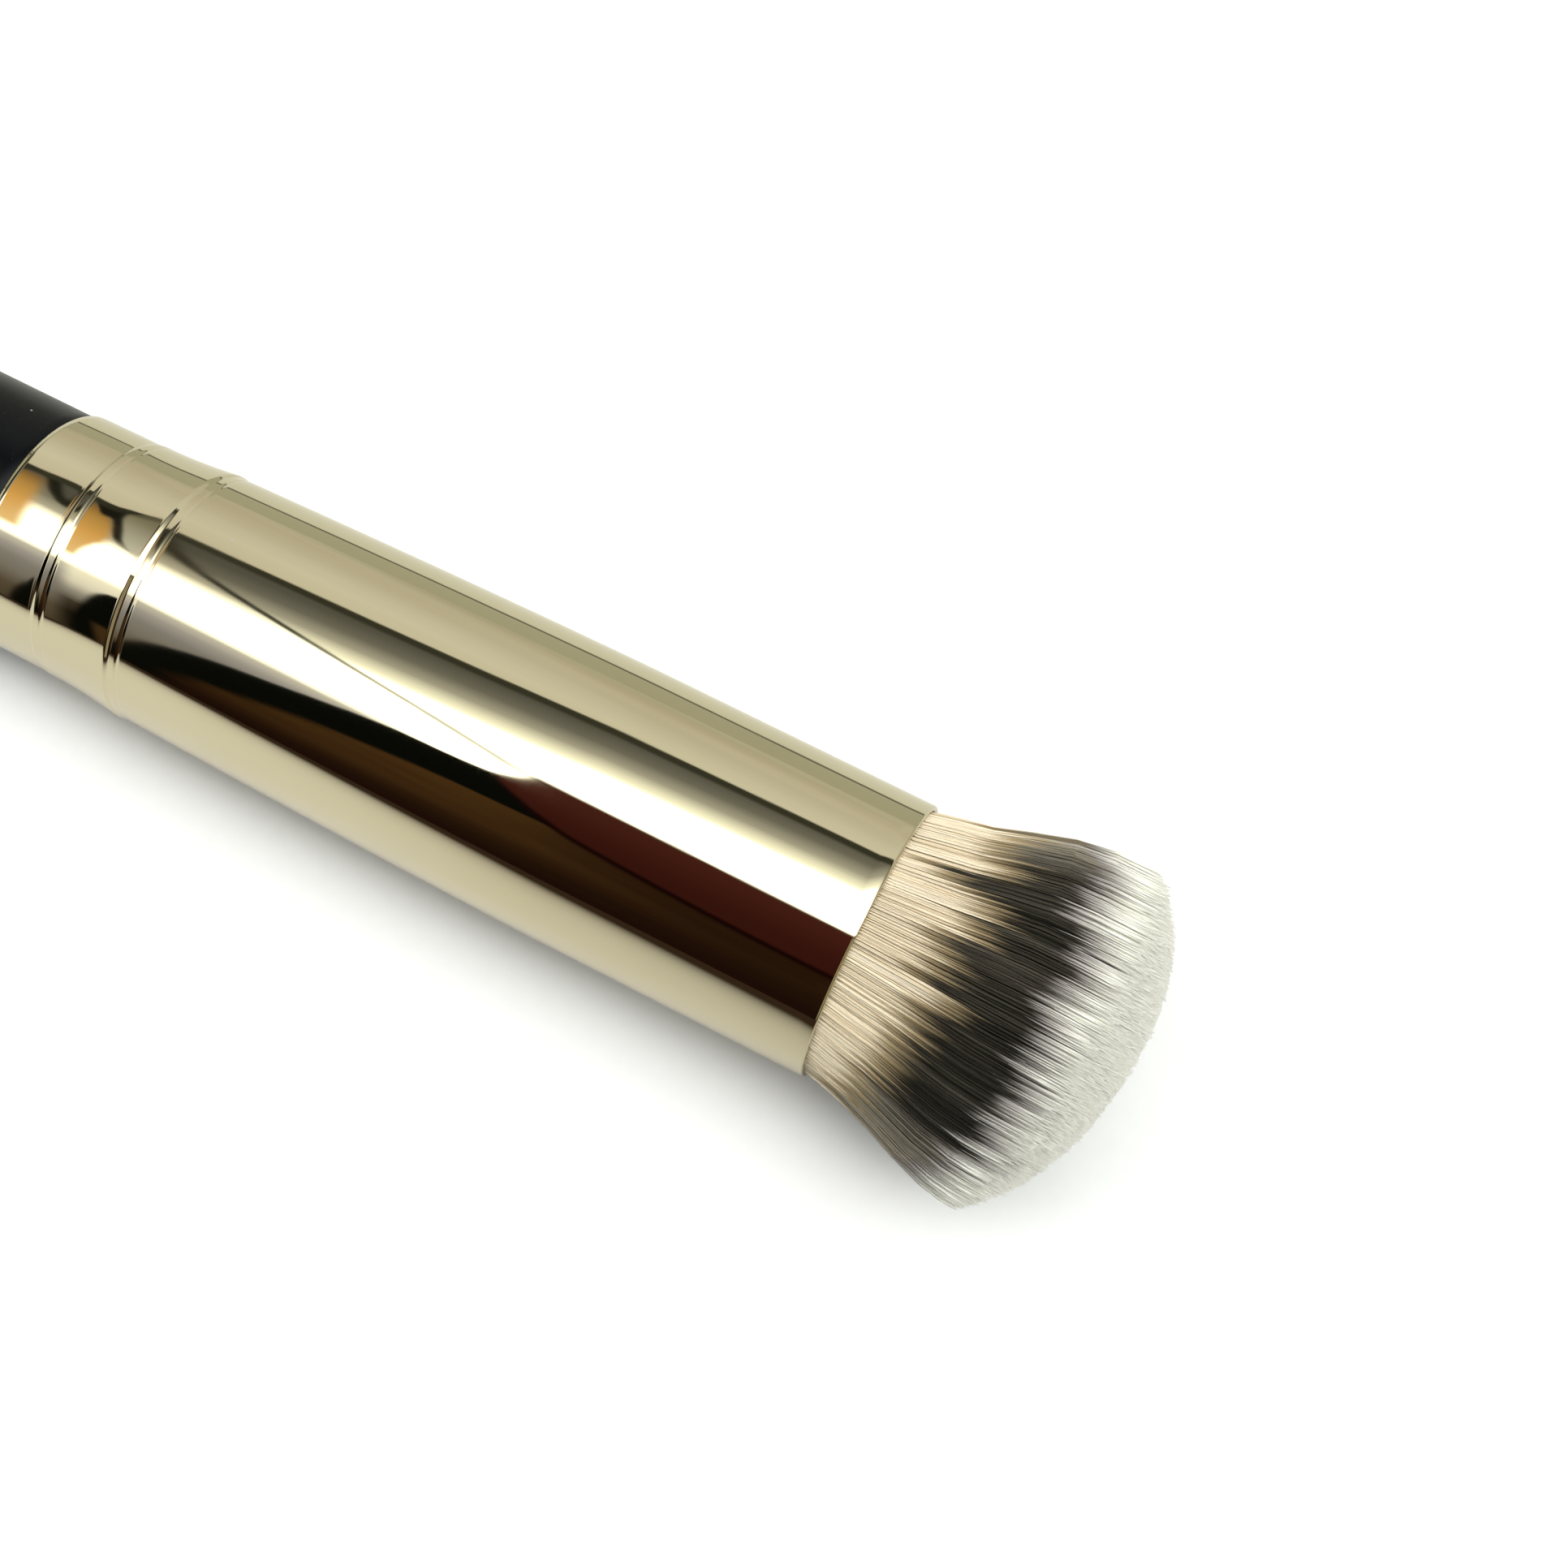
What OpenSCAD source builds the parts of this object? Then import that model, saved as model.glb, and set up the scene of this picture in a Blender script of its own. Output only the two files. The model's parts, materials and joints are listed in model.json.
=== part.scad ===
// Foundation brush with a slanted round head, lying on a table.
//
// Every piece is drawn about the brush's own axis, which runs along +X from the handle to the
// fibre tips, with the mouth of the ferrule at x = 0. lay_down() then leans the whole brush on
// the table plane z = 0, where it rests on the belly of its handle and on the rim of its head.
// The origin is below the middle of the lying brush. Lengths are in millimetres.

/* [Ferrule] */
// Outer diameter of the straight barrel and of the mouth
barrel_d = 20; // [18:0.5:23]
// Length of the straight barrel behind the mouth
barrel_l = 20; // [19:0.5:26]
// Length of the taper from the barrel back to the second crimp
taper_l = 33.6; // [26:0.2:40]
// Outer diameter at the second crimp
crimp2_d = 18.5; // [18.3:0.1:19]
// Outer diameter of the shoulder that swells just behind the second crimp
shoulder_d = 18.8; // [18.4:0.1:19.2]
// Distance from the second crimp back to the top of the shoulder
shoulder_gap = 1.2; // [0.8:0.1:2]
// Distance between the two crimps
neck_l = 6.3; // [4:0.1:8]
// Outer diameter at the first crimp
crimp1_d = 18; // [17.6:0.1:18.4]
// Length of the collar from the first crimp back to the handle joint
collar_l = 5.3; // [4:0.1:7]
// Outer diameter at the handle joint
collar_d = 17.6; // [16.5:0.1:18]
// Width of a crimp, which is two fine grooves with a bead between them
crimp_w = 1; // [0.7:0.1:1.3]
// Depth of the grooves in a crimp
crimp_depth = 0.2; // [0.1:0.05:0.3]
// Wall of the drawn metal tube
ferrule_wall = 0.4; // [0.3:0.05:0.6]
// Radius of the rounded outer edge of the mouth
lip_r = 0.25; // [0.1:0.05:0.3]

/* [Handle] */
// Length of the handle that shows, from the ferrule to its rounded end
handle_l = 88; // [70:1:120]
// How far the edge of the ferrule stands proud of the handle
joint_step = 0.2; // [0.15:0.05:0.3]
// Length of the straight stretch next to the ferrule
grip_l = 12; // [5:1:20]
// Diameter near the end of the handle
handle_end_d = 9.4; // [8:0.2:12]
// Length of the rounded end
nose_l = 4.4; // [3:0.1:6]
// Thickness of the black lacquer
lacquer_t = 0.12; // [0.08:0.01:0.15]
// Length of the tenon that sits inside the ferrule
tenon_l = 18; // [14:0.5:22]
// Chamfer at the tip of the tenon
tenon_chamfer = 0.8; // [0.4:0.1:1.5]
// Thickness of the glue between the tenon and the ferrule
glue_t = 0.15; // [0.1:0.05:0.25]

/* [Bristle head] */
// Widest diameter of the bristle head
head_d = 26; // [23:0.5:29]
// Distance from the mouth to the widest rim of the head
flare_l = 13.6; // [10:0.2:18]
// Height of the dome of fibre tips above the rim
dome_h = 5.9; // [3:0.1:9]
// Slant of the dome, longer on the +Y side
head_slant = 4; // [0:0.5:8]
// Depth to which the table presses the underside of the head flat
table_flat = 0.8; // [0.6:0.1:1.2]
// Number of strands that stand for the fibres
strand_count = 400; // [300:10:410]
// Width of a strand inside the ferrule
strand_root_w = 0.68; // [0.5:0.02:0.7]
// Width of a strand in the widest part of the head
strand_rim_w = 0.88; // [0.6:0.02:0.9]
// Width of a strand at its tip
strand_tip_w = 0.8; // [0.3:0.02:0.9]

/* [Fibre roots] */
// Depth of the potted fibre roots below the mouth
root_depth = 16; // [10:0.5:18]
// Thickness of the slice of potting that the strands are fused to
slice_t = 1.5; // [1:0.1:2]
// Length of the potting below that slice
plug_l = 6.5; // [6:0.1:9]
// Diameter of the thread that ties the fibre roots
thread_d = 0.5; // [0.3:0.05:0.6]
// Number of turns of the thread
thread_turns = 6; // [3:1:8]
// Distance from the bottom of the potting to the first turn
thread_inset = 1; // [0.5:0.1:1.2]

/* [Hidden] */

// Sides of a turned piece as it is drawn on the screen
round_sides = 96;
// Play between the outermost fibres and the wall of the ferrule
fibre_play = 0.15;
// Cuts run this far past what they cut
overrun = 1;
// Turn from each strand to the next, which spreads them evenly like seeds in a sunflower
golden_turn = 137.508;
// Turn of the first strand about the axis, so that the head rests on strands either side of its lowest line
first_turn = 75;
// Shares of a strand's free length at which its rings stand
ring_shares = [0.12, 0.8, 1];
// Neighbours of a strand in the spiral stand these many strands further on
neighbour_steps = [1, 2, 3, 5, 8, 13, 21, 34, 55, 89];
// Corners of a strand's cross-section
strand_sides = 3;
// Power of the dome's outline, where 2 is a parabola
dome_power = 2.15;
// Powers that bend the two tapers of the ferrule
neck_power = 2;
taper_power = 1.5;

// Places along the axis of the brush
barrel_x = -barrel_l;
crimp2_x = barrel_x - taper_l;
shoulder_x = crimp2_x - shoulder_gap;
crimp1_x = crimp2_x - neck_l;
joint_x = crimp1_x - collar_l;
tenon_x = joint_x + tenon_l;
grip_x = joint_x - grip_l;
nose_x = joint_x - handle_l + nose_l;
slice_x = -root_depth - slice_t;
plug_x = slice_x - plug_l;
thread_x = plug_x + thread_inset;

// Radii that other pieces follow
handle_r = collar_d / 2 - joint_step;
handle_end_r = handle_end_d / 2;
mouth_bundle_r = barrel_d / 2 - ferrule_wall - fibre_play;
head_r = head_d / 2;

function mix(from, to, share) = from + (to - from) * share;
function share_between(x, from, to) = max(0, min(1, (x - from) / (to - from)));
function ease(share) = (1 - cos(180 * share)) / 2;

// Places spread evenly from one end up to, but not including, the other
function spread(from, to, count) = [for (i = [0:count - 1]) mix(from, to, i / count)];

// A crimp is two grooves side by side: sin squared is zero at its middle and at both edges
function crimp_dip(x, middle) =
    abs(x - middle) < crimp_w / 2 ? crimp_depth * pow(sin(360 * (x - middle) / crimp_w), 2) : 0;

// Outer radius of the ferrule's tube before it is crimped
function tube_r(x) =
    x < crimp1_x ? mix(collar_d, crimp1_d, share_between(x, joint_x, crimp1_x)) / 2
    : x < shoulder_x ? mix(crimp1_d, shoulder_d, pow(share_between(x, crimp1_x, shoulder_x), neck_power)) / 2
    : x < crimp2_x ? mix(shoulder_d, crimp2_d, ease(share_between(x, shoulder_x, crimp2_x))) / 2
    : mix(crimp2_d, barrel_d, 1 - pow(1 - share_between(x, crimp2_x, barrel_x), taper_power)) / 2;

function ferrule_r(x) = tube_r(x) - crimp_dip(x, crimp1_x) - crimp_dip(x, crimp2_x);
function bore_r(x) = ferrule_r(x) - ferrule_wall;
function tenon_r(x) = bore_r(x) - glue_t;

// Places along the ferrule, close together where its outline bends
function crimp_places(middle) = spread(middle - crimp_w / 2, middle + crimp_w / 2, 12);
ferrule_places = concat(
    spread(joint_x, crimp1_x - crimp_w / 2, 2),
    crimp_places(crimp1_x),
    spread(crimp1_x + crimp_w / 2, shoulder_x, 6),
    spread(shoulder_x, crimp2_x - crimp_w / 2, 3),
    crimp_places(crimp2_x),
    spread(crimp2_x + crimp_w / 2, barrel_x, 14),
    [barrel_x]
);
function places_between(from, to) =
    concat([from], [for (x = ferrule_places) if (x > from && x < to) x], [to]);

// Outer radius of the handle, straight at the grip and slimmer towards the end
function body_r(x) = mix(handle_r, handle_end_r, ease(share_between(x, grip_x, nose_x)));

// Outline of the handle from the joint to the end, drawn in by the given depth all over
function handle_outline(depth) = concat(
    [[joint_x, body_r(joint_x) - depth]],
    [for (x = spread(grip_x, nose_x, 24)) [x, body_r(x) - depth]],
    [for (a = [0:10:80]) [nose_x - (nose_l - depth) * sin(a), (handle_end_r - depth) * cos(a)]],
    [[nose_x - nose_l + depth, 0]]
);

// Radius of the bundle of fibres, which flares from the mouth to the rim
function bundle_r(x) = mix(mouth_bundle_r, head_r, ease(share_between(x, 0, flare_l)));

// Place of a fibre tip, from its share of the radius and its angle round the axis
function tip_x(share, angle) =
    flare_l + dome_h * (1 - pow(min(share, 1), dome_power)) + tan(head_slant) * share * head_r * cos(angle);

function seat_share(i) = sqrt((i + 1 / 2) / strand_count);
function seat_angle(i) = first_turn + i * golden_turn;
function ring_x(i, ring) =
    ring == 0 ? slice_x + slice_t / 2 : ring_shares[ring - 1] * tip_x(seat_share(i), seat_angle(i));
ring_widths = [strand_root_w, strand_root_w, strand_rim_w, strand_tip_w];

// Middle of a strand at one of its rings, as y and z
function ring_middle(i, ring) =
    let(reach = bundle_r(ring_x(i, ring)) - ring_widths[ring] * cos(180 / strand_sides) / 2)
    seat_share(i) * reach * [cos(seat_angle(i)), sin(seat_angle(i))];

// A corner of a ring has a flat side of the strand facing outwards, and at the tip it lies on the dome
function ring_corner(i, ring, corner) =
    let(
        turn = seat_angle(i) + (corner + 1 / 2) * 360 / strand_sides,
        at = ring_middle(i, ring) + ring_widths[ring] / 2 * [cos(turn), sin(turn)],
        last = ring == len(ring_shares)
    )
    [last ? tip_x(norm(at) / head_r, atan2(at[1], at[0])) : ring_x(i, ring), at[0], at[1]];

strand_points = [
    for (i = [0:strand_count - 1], ring = [0:len(ring_shares)], corner = [0:strand_sides - 1])
        ring_corner(i, ring, corner)
];
corners_each = strand_sides * len(ring_widths);
function corner_index(i, ring, corner) = i * corners_each + ring * strand_sides + corner % strand_sides;
function side_faces(i, ring, c) = [
    [corner_index(i, ring, c), corner_index(i, ring + 1, c), corner_index(i, ring + 1, c + 1)],
    [corner_index(i, ring, c), corner_index(i, ring + 1, c + 1), corner_index(i, ring, c + 1)],
];
strand_faces = [
    for (i = [0:strand_count - 1]) each concat(
        [[for (c = [0:strand_sides - 1]) corner_index(i, 0, c)]],
        [for (ring = [0:len(ring_shares) - 1], c = [0:strand_sides - 1]) each side_faces(i, ring, c)],
        [[for (c = [0:strand_sides - 1]) corner_index(i, len(ring_shares), strand_sides - 1 - c)]]
    )
];

// Least gap between two strands of the spiral, over all rings
strand_gap = min([
    for (ring = [0:len(ring_shares)], step = neighbour_steps, i = [0:strand_count - 1 - step])
        norm(ring_middle(i, ring) - ring_middle(i + step, ring)) - ring_widths[ring]
]);
echo("least gap between strands", strand_gap);

// The table touches the pressed rim of the head and the handle where the lean is smallest
rest_r = head_r - table_flat;
rest_outline = concat(handle_outline(0), [for (x = ferrule_places) [x, ferrule_r(x)]]);
lean = min([for (p = rest_outline) atan((rest_r - p[1]) / (flare_l - p[0]))]);
lift = rest_r * cos(lean) - flare_l * sin(lean);

// Middle of the lying brush along the table
tip_end = max([for (p = strand_points) p[0] * cos(lean) - p[2] * sin(lean)]);
handle_end = min([for (p = handle_outline(0)) p[0] * cos(lean) - p[1] * sin(lean)]);
middle_x = (tip_end + handle_end) / 2;

function laid(x) = [x * cos(lean) - middle_x, 0, x * sin(lean) + lift];
echo("lean of the brush", lean);
echo("middle of the straight barrel", laid((barrel_x - lip_r) / 2));
echo("middle of the grip", laid((joint_x + grip_x) / 2));
echo("way from the barrel to the handle", [-cos(lean), 0, -sin(lean)]);

module lay_down() {
    translate([-middle_x, 0, lift])
        rotate([0, -lean, 0])
            children();
}

// A turned piece from its outline, whose points are places along the axis with their radii
module turned(outline) {
    lay_down()
        rotate([0, 90, 0])
            rotate_extrude($fn = round_sides)
                polygon([for (p = outline) [p[1], p[0]]]);
}

function reversed(list) = [for (i = [len(list) - 1:-1:0]) list[i]];

// Wooden core: the body of the handle and the tenon that fills the back of the ferrule
module handle_core() {
    tenon = [for (x = places_between(joint_x, tenon_x - tenon_chamfer)) [x, tenon_r(x)]];
    tip = [[tenon_x, tenon_r(tenon_x) - tenon_chamfer], [tenon_x, 0]];
    color("burlywood")
        turned(concat(reversed(handle_outline(lacquer_t)), tenon, tip));
}

// Black lacquer over all of the handle that shows
module handle_lacquer() {
    color([0.03, 0.04, 0.06])
        turned(concat(handle_outline(0), reversed(handle_outline(lacquer_t))));
}

// Glue round the tenon
module tenon_glue() {
    places = places_between(joint_x, tenon_x - tenon_chamfer);
    color("khaki")
        turned(concat([for (x = places) [x, bore_r(x)]], [for (x = reversed(places)) [x, tenon_r(x)]]));
}

// Crimped metal tube that joins the handle to the fibres
module ferrule() {
    lip = [for (a = [0:15:90]) [(sin(a) - 1) * lip_r, barrel_d / 2 - lip_r + lip_r * cos(a)]];
    outside = [for (x = ferrule_places) [x, ferrule_r(x)]];
    mouth = [[0, bore_r(0)]];
    inside = [for (x = reversed(ferrule_places)) [x, bore_r(x)]];
    color([0.80, 0.76, 0.62])
        turned(concat(outside, lip, mouth, inside));
}

// Potting that glues the fibre roots to the ferrule, with a waist for the thread
module root_plug() {
    waist_end = thread_x + thread_turns * thread_d;
    waist = [
        [thread_x, bore_r(thread_x)],
        [thread_x, bore_r(thread_x) - thread_d],
        [waist_end, bore_r(thread_x) - thread_d],
        [waist_end, bore_r(waist_end)],
    ];
    color("goldenrod")
        turned(concat(
            [[plug_x, 0], [plug_x, bore_r(plug_x)]],
            waist,
            [for (x = places_between(waist_end, slice_x)) [x, bore_r(x)]],
            [[slice_x, 0]]
        ));
}

// Thread that ties the fibre roots: the outer shape of its turns, side by side
module binding_thread() {
    inner_r = bore_r(thread_x) - thread_d;
    turns = [
        for (i = [0:thread_turns - 1], a = [180:-30:30])
            [thread_x + (i + 1 / 2 + cos(a) / 2) * thread_d, inner_r + (1 + sin(a)) / 2 * thread_d]
    ];
    thread_end = thread_x + thread_turns * thread_d;
    color("ivory")
        turned(concat([[thread_x, inner_r]], turns, [[thread_end, inner_r + thread_d / 2], [thread_end, inner_r]]));
}

// Fibres as strands, fused to a slice of the potting and pressed flat where they lie on the table
module bristle_tuft() {
    color("wheat")
        difference() {
            lay_down() {
                translate([slice_x, 0, 0])
                    rotate([0, 90, 0])
                        cylinder(r = bore_r(slice_x), h = slice_t, $fn = round_sides);
                polyhedron(points = strand_points, faces = strand_faces);
            }
            translate([-middle_x, -head_r - overrun, -head_r])
                cube([flare_l + dome_h + head_r, head_d + 2 * overrun, head_r]);
        }
}

handle_core();
handle_lacquer();
tenon_glue();
ferrule();
root_plug();
binding_thread();
bristle_tuft();
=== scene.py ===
# %% [markdown]
# # A foundation brush in Blender
#
# This lesson dresses a make-up brush: a black lacquered handle, a champagne-gold ferrule with two
# crimps, and a dense head of fibres in three tones. The shapes that matter for fit were worked out
# in CAD and come in as a fixed frame. Blender adds the fine shapes, the finishes and the light.

# %% Load the frame
import json

import bpy
import numpy as np
from mathutils import Matrix


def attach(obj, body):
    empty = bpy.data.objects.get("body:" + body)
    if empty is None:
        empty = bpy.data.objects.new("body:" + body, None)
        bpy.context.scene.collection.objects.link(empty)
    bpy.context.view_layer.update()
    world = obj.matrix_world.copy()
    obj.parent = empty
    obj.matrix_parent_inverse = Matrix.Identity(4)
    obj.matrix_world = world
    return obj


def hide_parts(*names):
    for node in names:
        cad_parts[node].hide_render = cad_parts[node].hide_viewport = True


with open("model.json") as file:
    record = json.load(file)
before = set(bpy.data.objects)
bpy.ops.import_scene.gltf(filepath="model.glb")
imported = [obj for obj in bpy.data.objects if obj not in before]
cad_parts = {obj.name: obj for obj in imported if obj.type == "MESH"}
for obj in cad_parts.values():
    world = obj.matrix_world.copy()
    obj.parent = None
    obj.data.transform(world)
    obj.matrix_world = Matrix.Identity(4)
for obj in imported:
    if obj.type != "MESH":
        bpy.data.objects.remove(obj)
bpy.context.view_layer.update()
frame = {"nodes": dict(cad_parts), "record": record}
print("nodes:", sorted(frame["nodes"]))

# %% [markdown]
# ## The brush's own axis
#
# Every piece here is round about one axis, so the shapes are worked out about it: x runs from the
# handle to the fibre tips with zero at the mouth of the ferrule, y is level and z points up from the
# axis. The brush lies on its belly and on the rim of its head, so that axis leans a little. The mount
# on the ferrule's barrel gives the axis and the mouth, which keeps this file in step with the CAD.

# %% Axis, mouth and the way from one frame to the other
MM = 0.001
LIP = 0.25  # radius of the mouth's rounded edge
mount = next(m for m in frame["record"]["mounts"] if m["name"] == "ferrule_barrel")
along = -np.array(mount["axis"], float)
along /= np.linalg.norm(along)
across = np.array([0.0, 1.0, 0.0])
upward = np.cross(along, across)
AXES = np.stack([along, across, upward])
mouth = np.array(mount["pos_m"]) / MM + along * (mount["dims"]["length_mm"] / 2 + LIP)


def laid(points):
    """Points about the brush's axis in mm, turned and moved to where the brush lies, in metres."""
    return (mouth + np.asarray(points) @ AXES) * MM


print("mouth at", mouth.round(3), "mm, lean", round(float(np.degrees(np.arcsin(along[2]))), 2))

# %% [markdown]
# ## Camera
#
# The photograph is taken from above and a little from the front. The distance and the angles come
# from fitting a camera to the outline of the ferrule and to its four rings: a short distance, because
# the barrel looks clearly wider than the collar.

# %% Camera
PICTURE = 1932
FOCAL_PIXELS = 3000
AZIMUTH, ELEVATION = np.radians([27.62, 70.05])
DISTANCE = 165.5
TARGET = np.array([-10.37, 7.20, 0.0])

backward = np.array(
    [np.sin(AZIMUTH) * np.cos(ELEVATION), -np.cos(AZIMUTH) * np.cos(ELEVATION), np.sin(ELEVATION)]
)
rightward = np.array([np.cos(AZIMUTH), np.sin(AZIMUTH), 0.0])
camera_axes = np.stack([rightward, np.cross(backward, rightward), backward]) @ AXES
stand = np.eye(4)
stand[:3, :3] = camera_axes.T
stand[:3, 3] = laid(TARGET + DISTANCE * backward)

lens = bpy.data.cameras.new("camera")
lens.sensor_width = 36
lens.lens = FOCAL_PIXELS / PICTURE * lens.sensor_width
lens.clip_start = 0.005
camera = bpy.data.objects.new("camera", lens)
camera.matrix_world = Matrix(stand.tolist())
bpy.context.scene.collection.objects.link(camera)
bpy.context.scene.camera = camera
print("camera at", stand[:3, 3].round(4), "lens", round(lens.lens, 1), "mm")

# %% [markdown]
# ## Surfaces from numbers
#
# A turned piece is a grid: one way along its outline, the other way round the axis. The whole grid is
# computed as arrays and handed to Blender at once. Rings close on themselves, and an outline whose end
# is joined to its start closes the tube's wall. The volume is measured with each piece, because it
# comes out negative where the faces point inwards.


# %% Grids and meshes
def grid_faces(rows, columns, close_rows=False):
    """Four-sided faces of a grid whose columns close into rings, and whose rows may close too."""
    i = np.arange(rows if close_rows else rows - 1)[:, None]
    j = np.arange(columns)[None, :]
    nexti, nextj = (i + 1) % rows, (j + 1) % columns
    corners = [i * columns + j, i * columns + nextj, nexti * columns + nextj, nexti * columns + j]
    return np.stack(np.broadcast_arrays(*corners), -1).reshape(-1, 4)


def outward(points, faces):
    """Volume inside the faces in cubic mm; it is positive where they point outwards."""
    total = 0.0
    for part in faces:
        corners = points[part] / MM
        for k in range(1, part.shape[1] - 1):
            spread = np.cross(corners[:, k], corners[:, k + 1])
            total += (corners[:, 0] * spread).sum() / 6
    return total


def make_piece(name, points, faces, material):
    """A smooth mesh object from points in metres and a list of face arrays, riding on the brush."""
    sizes = np.concatenate([np.full(len(part), part.shape[1]) for part in faces])
    mesh = bpy.data.meshes.new(name)
    mesh.vertices.add(len(points))
    mesh.vertices.foreach_set("co", np.asarray(points, np.float32).ravel())
    mesh.loops.add(int(sizes.sum()))
    corners = np.concatenate([part.ravel() for part in faces])
    mesh.loops.foreach_set("vertex_index", corners.astype(np.int32))
    mesh.polygons.add(len(sizes))
    mesh.polygons.foreach_set("loop_start", (np.cumsum(sizes) - sizes).astype(np.int32))
    mesh.polygons.foreach_set("use_smooth", np.ones(len(sizes), bool))
    mesh.update(calc_edges=True)
    mesh.materials.append(material)
    piece = bpy.data.objects.new(name, mesh)
    bpy.context.scene.collection.objects.link(piece)
    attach(piece, "root")
    volume = round(float(outward(points, faces)), 1)
    print(name, len(points), "points,", int((sizes - 2).sum()), "triangles,", volume, "cubic mm")
    return piece


def turned(outline, sides, wobble=None):
    """A surface of revolution: outline (x, r) carried round the axis, r shifted by wobble(x, angle)."""
    x, r = np.asarray(outline, float).T[:, :, None]
    angle = np.linspace(0, 2 * np.pi, sides, endpoint=False)[None, :]
    if wobble is not None:
        r = r + wobble(x, angle)
    x, r, angle = np.broadcast_arrays(x, r, angle)
    return laid(np.stack([x, r * np.cos(angle), r * np.sin(angle)], -1).reshape(-1, 3))


def ease(share):
    """Goes from 0 to 1 along half a cosine wave, level at both ends."""
    return (1 - np.cos(np.pi * np.clip(share, 0, 1))) / 2


def between(x, start, end):
    """Share of the way from start to end, held within 0 and 1."""
    return np.clip((x - start) / (end - start), 0, 1)


# %% [markdown]
# ## Node helpers and shared effects
#
# A material is a small tree of nodes. Two short helpers keep the trees readable. Effects that several
# finishes use are groups that are built once: soft blotches, such as handling leaves on a polished or
# lacquered surface, and fine dust specks.


# %% Node helpers
def node(tree, kind, inputs=None, **settings):
    """Adds a node. An input takes a number, a colour, or another node's socket, which it links."""
    made = tree.nodes.new(kind)
    for key, value in settings.items():
        setattr(made, key, value)
    for key, value in (inputs or {}).items():
        socket = made.inputs[key]
        if isinstance(value, bpy.types.NodeSocket):
            tree.links.new(value, socket)
        else:
            socket.default_value = (*value, 1.0) if socket.type == "RGBA" and len(value) == 3 else value
    return made


def math(tree, operation, a, b=0.0, clamp=False):
    """The result of one Math node on two sockets or numbers."""
    return node(tree, "ShaderNodeMath", {0: a, 1: b}, operation=operation, use_clamp=clamp).outputs[0]


def step(tree, value, low, high, start=0.0, end=1.0):
    """A soft step of value: start up to low, end from high, smooth between."""
    inputs = {"Value": value, "From Min": low, "From Max": high, "To Min": start, "To Max": end}
    return node(tree, "ShaderNodeMapRange", inputs, interpolation_type="SMOOTHSTEP").outputs[0]


def mix(tree, factor, a, b):
    """Colour a where factor is 0 and colour b where it is 1."""
    return node(tree, "ShaderNodeMix", {0: factor, 6: a, 7: b}, data_type="RGBA").outputs[2]


def new_group(name, inputs, outputs):
    """A shader node group with its sockets; returns the tree, its input node and its output node."""
    tree = bpy.data.node_groups.new(name, "ShaderNodeTree")
    for socket, kind, value in inputs:
        made = tree.interface.new_socket(name=socket, in_out="INPUT", socket_type=kind)
        if value is not None:
            made.default_value = value
    for socket, kind in outputs:
        tree.interface.new_socket(name=socket, in_out="OUTPUT", socket_type=kind)
    return tree, tree.nodes.new("NodeGroupInput"), tree.nodes.new("NodeGroupOutput")


def new_material(name):
    """An empty material; returns it with its tree, its Principled BSDF and its object coordinates."""
    material = bpy.data.materials.new(name)
    material.use_nodes = True
    tree = material.node_tree
    shader = tree.nodes["Principled BSDF"]
    place = tree.nodes.new("ShaderNodeTexCoord").outputs["Object"]
    return material, tree, shader, place


def count_nodes(name, tree):
    """Prints how many nodes a finish has by now."""
    print(name, "has", len(tree.nodes), "nodes")


# %% Handling marks: soft blotches of a changed gloss, stretched along the brush
marks, marks_in, marks_out = new_group(
    "handling_marks",
    [("Place", "NodeSocketVector", None), ("Size", "NodeSocketFloat", 60.0)],
    [("Mask", "NodeSocketFloat")],
)
stretched = node(
    marks, "ShaderNodeMapping", {"Vector": marks_in.outputs["Place"], "Scale": (0.55, 1, 1)}
)
blotches = node(
    marks,
    "ShaderNodeTexNoise",
    {
        "Vector": stretched.outputs[0],
        "Scale": marks_in.outputs["Size"],
        "Detail": 4.0,
        "Roughness": 0.55,
    },
)
marks.links.new(step(marks, blotches.outputs["Fac"], 0.42, 0.68), marks_out.inputs["Mask"])

# %% Dust specks: the middles of scattered cells, of which only a few are kept
specks, specks_in, specks_out = new_group(
    "dust_specks",
    [
        ("Place", "NodeSocketVector", None),
        ("Per metre", "NodeSocketFloat", 900.0),
        ("Kept", "NodeSocketFloat", 0.1),
        ("Width", "NodeSocketFloat", 0.12),
    ],
    [("Mask", "NodeSocketFloat")],
)
cells = node(
    specks,
    "ShaderNodeTexVoronoi",
    {"Vector": specks_in.outputs["Place"], "Scale": specks_in.outputs["Per metre"]},
)
chance = node(specks, "ShaderNodeSeparateColor", {"Color": cells.outputs["Color"]}).outputs[0]
kept = math(specks, "LESS_THAN", chance, specks_in.outputs["Kept"])
near = math(specks, "LESS_THAN", cells.outputs["Distance"], specks_in.outputs["Width"])
specks.links.new(math(specks, "MULTIPLY", kept, near), specks_out.inputs["Mask"])


def marked(tree, place, size):
    """The mask of handling marks in a material."""
    made = node(tree, "ShaderNodeGroup", node_tree=marks)
    tree.links.new(place, made.inputs["Place"])
    made.inputs["Size"].default_value = size
    return made.outputs["Mask"]


def specked(tree, place, per_metre, kept_share, width):
    """The mask of dust specks in a material."""
    made = node(tree, "ShaderNodeGroup", node_tree=specks)
    tree.links.new(place, made.inputs["Place"])
    made.inputs["Per metre"].default_value = per_metre
    made.inputs["Kept"].default_value = kept_share
    made.inputs["Width"].default_value = width
    return made.outputs["Mask"]


print("shared effects:", [g.name for g in bpy.data.node_groups])

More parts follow.
